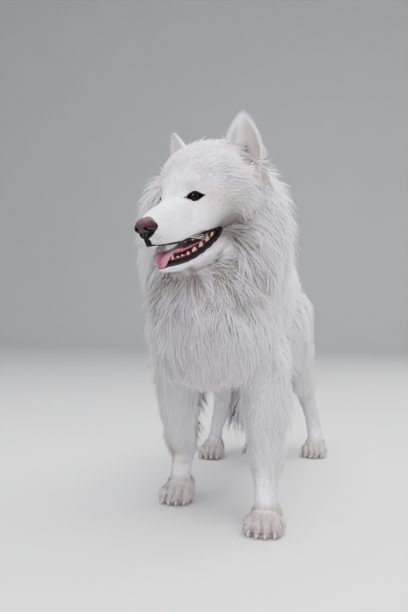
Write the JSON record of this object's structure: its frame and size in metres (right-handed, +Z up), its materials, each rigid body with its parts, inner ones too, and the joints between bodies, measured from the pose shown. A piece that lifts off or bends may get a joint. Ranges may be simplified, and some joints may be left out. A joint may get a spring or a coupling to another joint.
{
  "type": "standing samoyed dog model",
  "caption": "Life-size still model of a white long-coated spitz dog, standing with its head turned to its right and its mouth open.",
  "frame": {"origin": "on the floor, under the middle of the dog's bounding box", "axes": "-Y the way the body faces, +X the dog's left, +Z up"},
  "size_m": [0.3212, 0.848, 0.7086],
  "materials": {
    "coat": "matt white fur with a cool grey cast",
    "eye": "wet dark brown",
    "nose_leather": "damp pebbled liver-brown",
    "tongue": "wet pink"
  },
  "bodies": {
    "root": {"torso": "coat", "neck": "coat", "head": "coat", "jaw": "coat", "ear_left": "coat", "ear_right": "coat", "leg_front_left": "coat", "leg_front_right": "coat", "thigh_left": "coat", "thigh_right": "coat", "leg_rear_left": "coat", "leg_rear_right": "coat", "paw_front_left": "coat", "paw_front_right": "coat", "paw_rear_left": "coat", "paw_rear_right": "coat", "tail": "coat", "eye_left": "eye", "eye_right": "eye", "nose": "nose_leather", "tongue": "tongue"}
  },
  "joints": []
}
